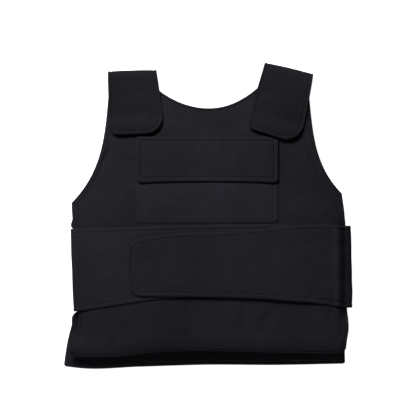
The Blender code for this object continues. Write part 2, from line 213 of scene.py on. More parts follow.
def waves(plan, size, seed, count=11):
    """Soft unevenness, mostly between -1 and 1: the sum of plane waves in many directions."""
    rng = np.random.default_rng(seed)
    angle, phase = rng.uniform(0.0, 2 * np.pi, (2, count))
    length = size * rng.uniform(0.7, 1.5, count)
    along = plan[..., :1] * np.cos(angle) + plan[..., 1:2] * np.sin(angle)
    return np.sin(2 * np.pi * along / length + phase).sum(-1) / np.sqrt(count)


# %% From flat cloth to a closed mesh


def facing(touch, flat):
    """The direction in which cloth gets thicker: the cross product of the steps that its place in
    space takes for a small step along each flat axis."""
    steps = [touch(flat + FLAT_STEP * axis) - touch(flat - FLAT_STEP * axis) for axis in np.eye(2)]
    out = np.cross(*steps)
    return out / np.linalg.norm(out, axis=-1, keepdims=True)


def mesh_object(name, points, faces, flat=None, away=None):
    """Puts arrays of points and four-cornered faces into a mesh, with a flat map and the distance
    from the border as a map and an attribute of their own."""
    mesh = bpy.data.meshes.new(name)
    mesh.vertices.add(len(points))
    mesh.vertices.foreach_set("co", points.astype(np.float32).ravel())
    mesh.loops.add(faces.size)
    mesh.loops.foreach_set("vertex_index", faces.astype(np.int32).ravel())
    mesh.polygons.add(len(faces))
    starts = np.arange(0, faces.size, faces.shape[1], dtype=np.int32)
    mesh.polygons.foreach_set("loop_start", starts)
    mesh.update(calc_edges=True)
    if flat is not None:
        layer = mesh.uv_layers.new(name="cloth")
        layer.data.foreach_set("uv", flat[faces.ravel()].astype(np.float32).ravel())
        rim = mesh.attributes.new("rim", "FLOAT", "POINT")
        rim.data.foreach_set("value", away.astype(np.float32))
    mesh.shade_smooth()
    mesh.validate()
    piece = bpy.data.objects.new(name, mesh)
    bpy.context.scene.collection.objects.link(piece)
    return piece


def sewn(name, plan, touch, outer, inner):
    """A closed piece: two grids of points, the outer and the inner face, that share their border.
    Each is the cloth's place plus its height in the direction in which the cloth is thick."""
    away = away_from(border_of(plan), plan)
    place, out = touch(plan), facing(touch, plan)
    over = place + outer(plan, away)[..., None] * out
    under = place + inner(plan, away)[..., None] * out
    columns, rows = plan.shape[:2]
    inside = np.zeros((columns, rows), bool)
    inside[1:-1, 1:-1] = True
    upper = np.arange(columns * rows).reshape(columns, rows)
    lower = upper.copy()
    lower[inside] = columns * rows + np.arange(inside.sum())
    over[~inside] = (over[~inside] + under[~inside]) / 2
    quads = [
        np.stack([grid[:-1, :-1], grid[1:, :-1], grid[1:, 1:], grid[:-1, 1:]], -1).reshape(-1, 4)
        for grid in (upper, lower)
    ]
    faces = np.concatenate([quads[0], quads[1][:, ::-1]])
    points, flat, away = (np.concatenate([a.reshape(-1, *a.shape[2:]), b[inside]])
                          for a, b in ((over, under), (plan, plan), (away, away)))
    piece = mesh_object(name, points, faces, flat, away)
    print(f"{name}: {len(faces)} faces, {np.ptp(points, axis=0).round(4).tolist()} m")
    return piece


# %% [markdown]
# ## Edges, grooves and pads
# Doubled cloth ends in a turned edge that is as round as the cloth is thick. A line of stitches
# pulls it in a few millimetres from there. Two small functions of the distance say all of this.

# %% The profile of an edge


def turned(away, radius):
    """The share of its height that a turned edge has: a quarter circle of the distance."""
    return np.sqrt(1 - (1 - np.clip(away / radius, 0.0, 1.0)) ** 2)


def dent(away, at, width):
    """A groove at one distance: a bell curve of the difference."""
    return np.exp(-(((away - at) / width) ** 2))


# %% [markdown]
# ## Woven polyester
# The cover is a plain-woven black polyester: matt, a little purple where the light falls on it, with
# threads about half a millimetre wide. It could be a photographed texture, but maths needs no files
# and never tiles. The threads are a bump, the product of two sines on the flat map, so the weave
# bends with the cloth round each fold. Soft noise makes the dye and the gloss a little uneven. The
# back's turned edge is lighter, partly wear and partly a painted highlight. Each piece has its own
# level of one dye; these levels are painted light and shade, lighter or darker by how light fell on it.

# %% A socket that does arithmetic


class Value:
    """A shader socket. Each operator adds a Math node to the material and gives its socket."""

    def __init__(self, shader, socket):
        self.shader, self.socket = shader, socket

    def math(self, operation, *others):
        inputs = dict(enumerate((self, *others)))
        return self.shader.node("ShaderNodeMath", {"operation": operation}, inputs, 0)

    def __add__(self, other):
        return self.math("ADD", other)

    def __mul__(self, other):
        return self.math("MULTIPLY", other)

    def __sub__(self, other):
        return self.math("SUBTRACT", other)

    def __rsub__(self, other):
        return self * -1 + other

    def __truediv__(self, other):
        return self.math("DIVIDE", other)

    def sine(self):
        return self.math("SINE")

    __radd__, __rmul__ = __add__, __mul__


class Shader:
    """A material and its nodes."""

    def __init__(self, name):
        self.material = bpy.data.materials.new(name)
        self.material.use_nodes = True
        self.tree = self.material.node_tree
        self.surface = self.tree.nodes["Principled BSDF"]

    def node(self, kind, settings=None, inputs=None, output=0):
        """Adds a node: first its settings, then its sockets' values or links. Gives one output."""
        made = self.tree.nodes.new(kind)
        for key, value in (settings or {}).items():
            setattr(made, key, value)
        self.fill(made, inputs or {})
        return Value(self, made.outputs[output])

    def fill(self, node, inputs):
        """Sets or links the sockets of a node."""
        for key, value in inputs.items():
            if isinstance(value, Value):
                self.tree.links.new(value.socket, node.inputs[key])
            else:
                node.inputs[key].default_value = value


# %% The cloth material
THREAD = 0.00062
WEAVE_HEIGHT = 0.00010
BROAD_NOISE, FINE_NOISE = (11.0, 3.0), (70.0, 4.0)
CONTRAST = 2.2
UNEVEN = 0.32
ROUGHNESS, ROUGHNESS_SPREAD = 0.80, 0.16
WORN_AND_LIT_TO = 0.0045
MIX_A, MIX_B, MIX_COLOUR = 6, 7, 2


def woven(name, colour, worn_and_lit=0.0):
    """Woven cloth: its colour varies by the share UNEVEN, and its edges are lighter, partly wear and
    partly a painted highlight.
    """
    shader = Shader(name)
    flat = shader.node("ShaderNodeUVMap", {"uv_map": "cloth"})
    across = shader.node("ShaderNodeSeparateXYZ", None, {0: flat}, 0)
    along = shader.node("ShaderNodeSeparateXYZ", None, {0: flat}, 1)
    turn = 2 * np.pi / THREAD
    threads = (across * turn).sine() * (along * turn).sine()
    place = shader.node("ShaderNodeTexCoord", None, None, "Object")
    broad, fine = (
        shader.node("ShaderNodeTexNoise", None, {"Vector": place, "Scale": scale, "Detail": detail}, 0)
        for scale, detail in (BROAD_NOISE, FINE_NOISE))
    away = shader.node("ShaderNodeAttribute", {"attribute_name": "rim"}, None, "Fac")
    # Lighter towards the border: partly wear, partly a painted highlight along the edge.
    edge = (1 - away / WORN_AND_LIT_TO).math("MAXIMUM", 0.0)
    mottle_and_highlight = broad * 0.7 + fine * 0.3 + edge * worn_and_lit
    dark = [(1 - UNEVEN) * part for part in colour]
    light = [(1 + UNEVEN) * part for part in colour]
    shade = ((mottle_and_highlight - 0.5) * CONTRAST + 0.5).math("MAXIMUM", 0.0)
    dye_and_highlight = shader.node("ShaderNodeMix", {"data_type": "RGBA", "clamp_factor": False},
                      {0: shade, MIX_A: (*dark, 1.0), MIX_B: (*light, 1.0)}, MIX_COLOUR)
    bump = shader.node("ShaderNodeBump", None,
                       {"Strength": 0.5, "Distance": WEAVE_HEIGHT, "Height": threads}, "Normal")
    shader.fill(shader.surface, {
        "Base Color": dye_and_highlight, "Roughness": fine * ROUGHNESS_SPREAD + (ROUGHNESS - ROUGHNESS_SPREAD / 2),
        "Normal": bump, "Specular IOR Level": 0.13, "Sheen Weight": 0.05, "Sheen Roughness": 0.45,
    })
    return shader.material


def thread(name, colour):
    """Sewing thread: smoother and a little shinier than the cloth, with its twist as a bump."""
    shader = Shader(name)
    place = shader.node("ShaderNodeTexCoord", None, None, "Object")
    twist = shader.node("ShaderNodeTexNoise", None, {"Vector": place, "Scale": 1800.0}, 0)
    bump = shader.node("ShaderNodeBump", None, {"Strength": 0.4, "Distance": 5e-5, "Height": twist},
                       "Normal")
    shader.fill(shader.surface, {"Base Color": (*colour, 1.0), "Roughness": 0.55, "Normal": bump,
                                 "Specular IOR Level": 0.3})
    return shader.material


TINT = np.array([1.000, 0.928, 1.305])
# Each level is painted light and shade: the pocket and the under band are lighter and the straps darker
# by how the light falls on them, and the back is lighter to lift its shaded hem.
CLOTHS = {
    "front_panel": woven("front cloth", 0.0161 * TINT),
    # The back's lighter edge is wear and a painted highlight where light reaches its hem.
    "back_panel": woven("back cloth", 0.0165 * TINT, worn_and_lit=0.5),
    "chest_pocket": woven("pocket cloth", 0.0218 * TINT),
    "pocket_flap": woven("flap cloth", 0.0160 * TINT),
    "shoulder_strap_left": woven("left strap cloth", 0.0119 * TINT),
    "shoulder_strap_right": woven("right strap cloth", 0.0119 * TINT),
    "side_band_under": woven("under band cloth", 0.0198 * TINT),
    "side_band_top": woven("top band cloth", 0.0174 * TINT),
}
SEWING = thread("sewing thread", (0.0065, 0.0062, 0.0085))
print("materials:", ", ".join(CLOTHS))


# %% [markdown]
# ## Stitches
# A row of black stitches runs round every part of the vest, and two round the pocket. A dashed line
# in the material would vanish from the side, so each stitch is a real piece of thread: a short tube
# that arches up out of the cloth and dives in again at both ends. All stitches of a piece are one
# mesh. Where a row is open, it also goes back to its start, mostly hidden inside the padding.

# %% Rows of stitches
STITCH_PITCH = 0.0042
STITCH_LENGTH = 0.0033
STITCH_RADIUS = 0.00038
STITCH_RINGS = np.array([-1.0, -0.75, 0.0, 0.75, 1.0])
STITCH_ROUND = np.array([0.35, 0.9, 1.0, 0.9, 0.35])
STITCH_SIDES = 6


def stitched(name, rows, touch, outer):
    """Tubes along flat lines: each ring's middle is a point of an arch over the cloth, and its
    corners go round by the sine and cosine of equal angles."""
    angle = np.arange(STITCH_SIDES) * 2 * np.pi / STITCH_SIDES
    points, faces, total = [], [], 0
    for line, inset in rows:
        centre = evenly(line, STITCH_PITCH)
        run = np.roll(centre, -1, axis=0) - np.roll(centre, 1, axis=0)
        run /= np.linalg.norm(run, axis=-1, keepdims=True)
        along = centre[:, None] + run[:, None] * STITCH_RINGS[:, None] * STITCH_LENGTH / 2
        away = np.full(along.shape[:-1], inset)
        out = facing(touch, along)
        height = outer(along, away) + STITCH_RADIUS * (0.7 - 1.2 * STITCH_RINGS**2)
        middle = touch(along) + height[..., None] * out
        forward = middle[:, -1:] - middle[:, :1]
        side = np.cross(forward, out)
        side /= np.linalg.norm(side, axis=-1, keepdims=True)
        ring = np.cos(angle)[:, None] * side[:, :, None] + np.sin(angle)[:, None] * out[:, :, None]
        tube = middle[:, :, None] + STITCH_RADIUS * STITCH_ROUND[:, None, None] * ring
        index = total + np.arange(tube[..., 0].size).reshape(tube.shape[:-1])
        after = np.roll(index, -1, axis=2)
        wall = np.stack([index[:, :-1], after[:, :-1], after[:, 1:], index[:, 1:]], -1)
        points.append(tube.reshape(-1, 3))
        faces.append(wall.reshape(-1, 4))
        halves = [(first + np.arange(4)) % STITCH_SIDES for first in (0, STITCH_SIDES // 2)]
        for ring_at, order in ((0, 1), (-1, -1)):
            caps = np.stack([index[:, ring_at][:, half] for half in halves], 1)
            faces.append(caps.reshape(-1, 4)[:, ::-order])
        total += tube[..., 0].size
    piece = mesh_object(name, np.concatenate(points), np.concatenate(faces))
    print(f"{name}: {total // (len(STITCH_RINGS) * STITCH_SIDES)} stitches")
    return piece


def dressed(node, slot, part, plan, touch, outer, inner, rows):
    """A piece of cloth and its stitches. Both ride with the vest. The slot argument is not used."""
    cloth = sewn(f"{node}_{part}", plan, touch, outer, inner)
    seams = stitched(f"{node}_stitches", rows, touch, outer)
    for piece, material in ((cloth, CLOTHS[node]), (seams, SEWING)):
        piece.data.materials.clear()
        piece.data.materials.append(material)
        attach(piece, "root")
    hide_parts(node)
    return cloth, seams


# %% [markdown]
# ## The two panels
# Chest and back are cut almost alike: a hem, two sides that end under the arms, two armholes, two
# shoulders and a neckline. A filled curve would have no grid to bend, so the four edges are blended
# across each other instead, which gives a smooth net of points however the outline runs.

# %% The panels' outlines
UNDERARM_AT = 0.55
NECK_FROM = 0.26
SHOULDER_OUTER = ({"x": -0.1873, "y": 0.2500}, {"x": 0.1900, "y": 0.2465})
SHOULDER_INNER = ({"x": -0.0980, "rise": 0.0376}, {"x": 0.1000, "rise": 0.0445})
NECK_X = 0.0018
NECK_POWER = 2.05
BACK_PANEL = {
    "hem": table(
        "x y",
        (-0.274, -0.2860),
        (-0.240, -0.2900),
        (-0.130, -0.2870),
        (0.000, -0.2832),
        (0.130, -0.2836),
        (0.262, -0.2810),
    ),
    "sides": table(
        "y left right",
        (-0.290, -0.2745, 0.2610),
        (-0.264, -0.2712, 0.2600),
        (-0.229, -0.2648, 0.2600),
        (-0.207, -0.2590, 0.2600),
        (-0.185, -0.2535, 0.2600),
        (-0.180, -0.2465, 0.2598),
        (-0.160, -0.2450, 0.2590),
        (-0.100, -0.2455, 0.2575),
        (-0.035, -0.2475, 0.2565),
        (-0.0292, -0.2495, 0.2568),
        (-0.0262, -0.2550, 0.2570),
        (-0.005, -0.2575, 0.2580),
        (0.042, -0.2600, 0.2520),
    ),
    "corner_radius": (0.005, 0.005),
    "underarm_y": (0.0242, 0.0400),
    "armhole": (
        {"slant": 0.0190, "scoop": 0.0532, "power": 3.8},
        {"slant": 0.0171, "scoop": 0.0448, "power": 4.0},
    ),
    "neck_y": 0.195,
}
FRONT_PANEL = {
    "hem": table(
        "x y",
        (-0.262, -0.2672),
        (-0.163, -0.2648),
        (-0.116, -0.2590),
        (-0.070, -0.2560),
        (0.020, -0.2552),
        (0.130, -0.2580),
        (0.264, -0.2610),
    ),
    "sides": table(
        "y left right",
        (-0.262, -0.2635, 0.2600),
        (-0.242, -0.2625, 0.2620),
        (-0.213, -0.2468, 0.2660),
        (-0.185, -0.2452, 0.2640),
        (-0.160, -0.2455, 0.2605),
        (-0.030, -0.2485, 0.2580),
        (0.000, -0.2495, 0.2580),
        (0.044, -0.2530, 0.2526),
    ),
    "corner_radius": (0.017, 0.014),
    "underarm_y": (0.0242, 0.0423),
    "armhole": (
        {"slant": 0.0095, "scoop": 0.0550, "power": 3.8},
        {"slant": 0.0171, "scoop": 0.0456, "power": 4.0},
    ),
    "neck_y": 0.203,
}


def side_edge(panel, side, v):
    """A side and an armhole, from hem to shoulder: the side follows its table up to the underarm,
    and from the shoulder down the armhole goes out by a straight part and a power part."""
    out = (-1, 1)[side]
    column = ("left", "right")[side]
    radius = panel["corner_radius"][side]
    hem_y = curve_through(panel["hem"], "x", "y", panel["sides"][0][column])
    start_y = hem_y + radius * (1 - np.sqrt(0.5))
    y_side = start_y + (panel["underarm_y"][side] - start_y) * v / UNDERARM_AT
    x_side = curve_through(panel["sides"], "y", column, y_side)
    x_side = x_side - out * drawn_in(y_side - hem_y, radius)
    shoulder, hole = SHOULDER_OUTER[side], panel["armhole"][side]
    t = np.clip((1 - v) / (1 - UNDERARM_AT), 0.0, 1.0)
    x_hole = shoulder["x"] + out * (hole["slant"] * t + hole["scoop"] * t ** hole["power"])
    y_hole = shoulder["y"] + (panel["underarm_y"][side] - shoulder["y"]) * t
    below = v < UNDERARM_AT
    return np.dstack([np.where(below, x_side, x_hole), np.where(below, y_side, y_hole)])


def hem_edge(panel, u):
    """A hem from left to right: the curve through its table, drawn in at both corners."""
    left, right = (panel["sides"][0][column] for column in ("left", "right"))
    radius_left, radius_right = panel["corner_radius"]
    start = left + radius_left * (1 - np.sqrt(0.5))
    end = right - radius_right * (1 - np.sqrt(0.5))
    x = start + (end - start) * u
    y = curve_through(panel["hem"], "x", "y", x)
    return np.dstack([x, y + drawn_in(x - left, radius_left) + drawn_in(right - x, radius_right)])


def neck_edge(panel, u):
    """Left shoulder, neckline and right shoulder: two straight lines, and between them a curve that
    rises from its lowest point as the power NECK_POWER of the distance."""
    left, right = SHOULDER_INNER
    along_neck = np.clip((u - NECK_FROM) / (1 - 2 * NECK_FROM), 0.0, 1.0)
    x = left["x"] + (right["x"] - left["x"]) * along_neck
    on_left = x < NECK_X
    reach = (x - NECK_X) / (np.where(on_left, left["x"], right["x"]) - NECK_X)
    rise = np.where(on_left, left["rise"], right["rise"])
    edge = np.dstack([x, panel["neck_y"] + rise * reach**NECK_POWER])
    for outer, inner, share in zip(SHOULDER_OUTER, SHOULDER_INNER, (u, 1 - u)):
        start = np.array([outer["x"], outer["y"]])
        end = np.array([inner["x"], panel["neck_y"] + inner["rise"]])
        shoulder = start + (end - start) * (share / NECK_FROM)[..., None]
        edge = np.where((share < NECK_FROM)[..., None], shoulder, edge)
    return edge


def panel_plan(panel, across, up):
    """A panel's grid: left and right edges blended across, hem and neck blended up, less the
    corners' own blend, which both of them hold."""
    u, v = np.meshgrid(across, up, indexing="ij")
    left, right = (side_edge(panel, which, v) for which in (0, 1))
    hem, neck = hem_edge(panel, u), neck_edge(panel, u)
    u, v = u[..., None], v[..., None]
    corners = (1 - u) * ((1 - v) * hem[0, 0] + v * neck[0, 0])
    corners = corners + u * ((1 - v) * hem[-1, 0] + v * neck[-1, 0])
    return (1 - v) * hem + v * neck + (1 - u) * left + u * right - corners


# %% [markdown]
# ## How the cover lies on its pad
# The cover is cut a little larger than its pad, so it buckles softly between the seams. Noise could
# imitate that, but it doesn't know where the seams are. So a coarse cushion of the panel's outline is
# blown up by Blender's cloth simulation with its seams held. Without the broad swelling, what is left
# is the cover's relief. Whatever lies on the panel follows it, and so do a few creases from storage.

# %% The cover's relief, from a cloth simulation
SQUARE = 0.0065
FIRST, LAST = slice(0, -1), slice(1, None)
SQUARE_CORNERS = ((FIRST, FIRST), (LAST, FIRST), (LAST, LAST), (FIRST, LAST))
HALF_PAD = 0.004
HELD_TO = 0.011
PRESSURE = 4.0
LOOSE = 0.035
LAST_FRAME = 20
BROAD = 0.035
MOST_RELIEF = 0.0006
RELIEF_FROM = (0.004, HELD_TO + 0.01)


def within(line, points):
    """Whether each flat point is inside a closed line: a ray to the right crosses it an odd number
    of times."""
    x, y = points[..., 0, None], points[..., 1, None]
    (x0, y0), (x1, y1) = line.T, np.roll(line, -1, axis=0).T
    rise = np.where(y1 == y0, 1e-12, y1 - y0)
    crossed = ((y0 > y) != (y1 > y)) & (x < x0 + (x1 - x0) * (y - y0) / rise)
    return crossed.sum(-1) % 2 == 1


def cushion(name, plan, inside):
    """The squares of a grid whose four corners are inside, as an upper and a lower layer that share
    their border. Gives the piece, and for each of its points the number of its grid point, which is
    past the grid's size in the lower layer."""
    cells = np.all([inside[corner] for corner in SQUARE_CORNERS], axis=0)
    padded = np.pad(cells, 1)
    free = np.all([padded[corner] for corner in SQUARE_CORNERS], axis=0)
    upper = np.arange(inside.size).reshape(inside.shape)
    lower = np.where(free, upper + inside.size, upper)
    quads = [np.stack([grid[corner] for corner in SQUARE_CORNERS], axis=-1)[cells]
             for grid in (upper, lower)]
    kept, faces = np.unique(np.concatenate([quads[0], quads[1][:, ::-1]]), return_inverse=True)
    height = HALF_PAD * free.ravel()
    points = np.concatenate([np.column_stack([plan.reshape(-1, 2), z]) for z in (height, -height)])
    return mesh_object(name, points[kept], faces.reshape(-1, 4)), kept


def blown_up(piece, held):
    """How far each point of a closed piece has moved up after the simulation, with some held."""
    piece.vertex_groups.new(name="held").add(held.tolist(), 1.0, "REPLACE")
    cloth = piece.modifiers.new("cloth", "CLOTH")
    rules = cloth.settings
    rules.quality = 5
    rules.mass = 0.02
    rules.bending_stiffness = 0.5
    rules.vertex_group_mass = "held"
    rules.shrink_min = -LOOSE
    rules.use_pressure = True
    rules.uniform_pressure_force = PRESSURE
    rules.effector_weights.gravity = 0.0
    cloth.collision_settings.use_collision = False
    cloth.point_cache.frame_end = LAST_FRAME
    for number in range(1, LAST_FRAME + 1):
        bpy.context.scene.frame_set(number)
    mesh = piece.evaluated_get(bpy.context.evaluated_depsgraph_get()).data
    after, before = (np.empty(3 * len(piece.data.vertices)) for _ in range(2))
    mesh.vertices.foreach_get("co", after)
    piece.data.vertices.foreach_get("co", before)
    return (after - before)[2::3]


def blur(count, size):
    """A matrix that blurs a row of grid values: each row holds a bell curve that adds up to 1."""
    at = np.arange(count) * SQUARE
    bell = np.exp(-(((at[:, None] - at) / size) ** 2))
    return bell / bell.sum(1, keepdims=True)


def relief_of(name, border):
    """A smooth function of flat points, zero outside a border: the simulated rise, without its broad
    part, on a square grid, read as a quadratic B-spline."""
    lowest = border.min(0) - 2 * SQUARE
    counts = np.ceil((border.max(0) - lowest) / SQUARE).astype(int) + 2
    plan = lowest + SQUARE * np.stack(np.meshgrid(*map(np.arange, counts), indexing="ij"), axis=-1)
    inside = within(border, plan)
    piece, kept = cushion(name, plan, inside)
    away = (away_from(border, plan) * inside).ravel()
    held = np.flatnonzero((kept >= inside.size) | (away[kept % inside.size] < HELD_TO))
    rise = np.zeros(2 * inside.size)
    rise[kept] = blown_up(piece, held)
    bpy.data.objects.remove(piece)
    rise = rise[:inside.size].reshape(inside.shape)
    across, up = (blur(count, BROAD) for count in counts)
    broad = (across @ rise @ up.T) / np.maximum(across @ inside @ up.T, 1e-6)
    relief = (rise - broad) * ramp(away.reshape(inside.shape), *RELIEF_FROM)
    print(f"{name}: blown up {rise.max() * 1000:.1f} mm, relief {relief.std() * 1000:.2f} mm")
    relief = MOST_RELIEF * np.tanh(relief / MOST_RELIEF)

    def read(flat):
        at = np.clip((flat - lowest) / SQUARE, 1.0, counts - 2.0)
        near = np.rint(at).astype(int)
        part = at - near
        shares = [(0.5 - part) ** 2 / 2, 0.75 - part**2, (0.5 + part) ** 2 / 2]
        column, row = near[..., 0] - 1, near[..., 1] - 1
        return sum(shares[i][..., 0] * shares[j][..., 1] * relief[column + i, row + j]
                   for i in range(3) for j in range(3))

    return read


def creased(rows):
    """A function of flat points: straight creases, each as deep as its row says, fading at its ends
    by half a sine, and across by a bell curve."""
    def depth(flat):
        total = np.zeros(flat.shape[:-1])
        for row in rows:
            start, end = np.array(row["from"]), np.array(row["to"])
            along = ((flat - start) @ (end - start)) / ((end - start) ** 2).sum()
            share = np.clip(along, 0.0, 1.0)
            off = np.linalg.norm(flat - start - share[..., None] * (end - start), axis=-1)
            total = total - row["deep"] * np.sin(np.pi * share) * np.exp(-((off / row["wide"]) ** 2))
        return total

    return depth


FRONT_CREASES = creased(table(
    "from to deep wide",
    ((-0.1795, 0.1370), (-0.2035, 0.0930), 0.0030, 0.0032),
    ((0.1900, 0.1200), (0.2120, 0.0800), 0.0008, 0.0050),
))
BACK_CREASES = creased(table(
    "from to deep wide",
    ((0.1560, -0.2765), (0.1760, -0.2812), 0.0016, 0.0030),
    ((0.1960, -0.2760), (0.2160, -0.2805), 0.0018, 0.0034),
    ((0.2300, -0.2750), (0.2440, -0.2800), 0.0016, 0.0028),
))
front_border, back_border = (
    border_of(panel_plan(panel, crowded(160), crowded(160))) for panel in (FRONT_PANEL, BACK_PANEL))
front_buckles = relief_of("front pad", front_border)
back_buckles = relief_of("back pad", back_border)


def front_relief(flat):
    """The front cover's relief: what the simulation gave, and the creases."""
    return front_buckles(flat) + FRONT_CREASES(flat)


def back_relief(flat):
    """The back cover's relief, in the same way."""
    return back_buckles(flat) + BACK_CREASES(flat)


# %% The padded panels
PANEL_LINES = 208
PANEL_EDGE = 0.0032
HEM_EDGE = 0.0180
SEAM_DEPTH = 0.22
SEAM_WIDTH = 0.0010
RIM_AT = 0.46
BORDER_SHARE = 0.60
SWOLLEN_BY = 0.026
SEAM_AT = 0.0052
HEM_SEAM_AT = 0.0060
HEM_TIGHT_IN_X = (-0.16, -0.08)
HEM_BLEND = 0.01
HEM_DROOP = 0.0080
HEM_BEND = (-0.004, 0.024)
PUCKER, PUCKER_SIZE = 0.00022, 0.014


def padding(thickness, away, low, seed, plan):
    """A padded panel's outer height: a turned edge, which is rounder where "low" is 1 along the hem,
    a sewn border that keeps BORDER_SHARE of the rise, a groove under the stitches, and the swell of
    the pad behind them, with small puckers next to the stitches. On the left part of the hem the
    edge is less round and the groove is shallower."""
    seam = SEAM_AT + (HEM_SEAM_AT - SEAM_AT) * low
    tight = ramp(plan[..., 0], *HEM_TIGHT_IN_X)
    edge = PANEL_EDGE + (HEM_EDGE - PANEL_EDGE) * low * (0.6 + 0.4 * tight)
    border = BORDER_SHARE + (1 - BORDER_SHARE) * low
    share = border + (1 - border) * ramp(away, seam, SWOLLEN_BY)
    drawn = SEAM_DEPTH * (1 - 0.7 * low * (1 - tight))
    share = share * turned(away, edge) - drawn * dent(away, seam, SEAM_WIDTH)
    pucker = waves(plan, PUCKER_SIZE, seed) * dent(away, seam + 0.003, 0.005)
    return thickness * (RIM_AT + (1 - RIM_AT) * share) + PUCKER * pucker


def panel_faces(thickness, hem_below, relief, seed):
    """The outer and the inner height of a panel, as functions of the flat point and the distance
    from the border. Below hem_below the seam lies further in."""
    def outer(plan, away):
        low = 1 - ramp(plan[..., 1], hem_below - HEM_BLEND, hem_below + HEM_BLEND)
        return padding(thickness, away, low, seed, plan) + relief(plan)

    def inner(plan, away):
        share = 0.5 + 0.5 * ramp(away, SEAM_AT, SWOLLEN_BY)
        return thickness * RIM_AT * (1 - turned(away, PANEL_EDGE) * share)

    return outer, inner


def resting(height):
    """Puts flat points into space at the height that a function gives them."""
    return lambda plan: np.concatenate([plan, height(plan)[..., None]], axis=-1)


def under_drooping_front(plan):
    """The chest panel's inner face again, lower by HEM_DROOP at the hem, where the cover's weight
    bends it down over HEM_BEND."""
    above_hem = plan[..., 1] - curve_through(FRONT_PANEL["hem"], "x", "y", plan[..., 0])
    return under_front(plan) - HEM_DROOP * (1 - ramp(above_hem, *HEM_BEND))


def seam_rows(plan, hem_below):
    """The stitch lines of a panel: near the border at the sides, further in along the hem."""
    border = border_of(plan)
    near, low = inside_line(border, SEAM_AT), inside_line(border, HEM_SEAM_AT)
    return [(near[near[:, 1] > hem_below], SEAM_AT), (low[low[:, 1] < hem_below], HEM_SEAM_AT)]


def make_panel(node, slot, panel, height, thickness, hem_below, relief, seed):
    """A panel with its stitches."""
    plan = panel_plan(panel, crowded(PANEL_LINES), crowded(PANEL_LINES))
    faces = panel_faces(thickness, hem_below, relief, seed)
    rows = seam_rows(plan, hem_below)
    cloth, _ = dressed(node, slot, "cover", plan, resting(height), *faces, rows)


make_panel("back_panel", "back_cloth", BACK_PANEL, under_back, BACK_THICKNESS, -0.262,
           back_relief, 3)
make_panel("front_panel", "front_cloth", FRONT_PANEL, under_drooping_front, FRONT_THICKNESS, -0.238,
           front_relief, 5)

# %% [markdown]
# ## The chest pocket and its flap
# The pocket is a pouch of cloth sewn on along its sides and bottom with two rows of stitches. The
# flap is sewn on above it and hangs over it. Both are flat cloth that lies on the panel's arch, so
# they need only the arch's height and a little of their own.

# %% Where a piece can rest


def over_front(plan):
    """Height of the chest panel's outer face where it is fully padded, with its relief."""
    return under_front(plan) + FRONT_THICKNESS + GAP + front_relief(plan)


# %% Pocket and flap
POCKET_X = (-0.1350, 0.1320)
POCKET_Y = (-0.0138, 0.1440)
POCKET_CORNER = 0.010
POCKET_SEAMS = (0.0016, 0.0078)
POCKET_GROOVES = (0.0004, 0.0007)
POCKET_RIM, POCKET_FLAT, POCKET_FULL = 0.0005, 0.0013, 0.0011
POCKET_FULL_AT, POCKET_GROOVE_WIDTH = 0.035, 0.0010
POCKET_WAVE, POCKET_WAVE_SIZE = 0.00014, 0.05
POCKET_PULL = 0.0003
POCKET_SEAM_END = 0.03
FLAP_X = (-0.1348, 0.1325)
FLAP_Y = (0.0630, 0.1500)
FLAP_CORNER = 0.009
FLAP_STEP = 0.008
FLAP_SEAM = 0.0078
FLAP_TOP_SEAM_Y, FLAP_TOP_SEAM_AWAY = 0.1411, 0.02
FLAP_GROOVE, FLAP_TOP_GROOVE, FLAP_GROOVE_WIDTH = 0.0013, 0.0007, 0.0012
FLAP_RIM, FLAP_FLAT, FLAP_FULL = 0.0009, 0.0019, 0.0005
FLAP_FULL_AT, FLAP_EDGE = 0.028, 0.0012
FLAP_WAVE, FLAP_WAVE_SIZE = 0.00012, 0.045
FLAP_LIFT, FLAP_LIFT_RUN = 0.0014, 0.024
FLAP_SINK, FLAP_SINK_RUN = 0.0004, (0.003, 0.026)
CLOTH_EDGE = 0.0009


def patch_plan(x_span, y_span, corner, lines, sag=0.0):
    """A rectangle's grid with rounded lower corners, whose lower edge arches up by sag in the
    middle as one minus the square of the share of the way out."""
    across, up = crowded(lines[0]) - 0.5, crowded(lines[1])
    share, up = np.meshgrid(across, up, indexing="ij")
    height = y_span[1] - y_span[0]
    width = x_span[1] - x_span[0] - 2 * drawn_in(up * height, corner)
    y = y_span[0] + up * height + sag * (1 - (2 * share) ** 2) * (1 - up)
    return np.dstack([sum(x_span) / 2 + share * width, y])


def at_bottom(plan):
    """1 along the pocket's bottom, falling to 0 at its upper row of stitches."""
    return 1 - ramp(plan[..., 1], POCKET_Y[0], POCKET_Y[0] + POCKET_SEAMS[1])


def under_pocket(plan):
    """Height of the pocket's inner face: on the panel, and pulled tight onto it at the bottom."""
    return over_front(plan) - POCKET_PULL * at_bottom(plan)


def pocket_outer(plan, away):
    """A pouch: flat between its two rows of stitches, and slightly full inside them."""
    full = ramp(away, POCKET_SEAMS[1], POCKET_FULL_AT)
    closed = ramp(plan[..., 1], POCKET_Y[1] - 2 * FLAP_STEP, POCKET_Y[1])
    height = POCKET_FLAT + POCKET_FULL * full * (1 - closed)
    height = height + POCKET_WAVE * waves(plan, POCKET_WAVE_SIZE, 11) * full
    for groove, seam in zip(POCKET_GROOVES, POCKET_SEAMS):
        height = height - groove * dent(away, seam, POCKET_GROOVE_WIDTH)
    rise = (height - POCKET_RIM) * (1 - 0.8 * at_bottom(plan))
    return POCKET_RIM + rise * turned(away, CLOTH_EDGE)


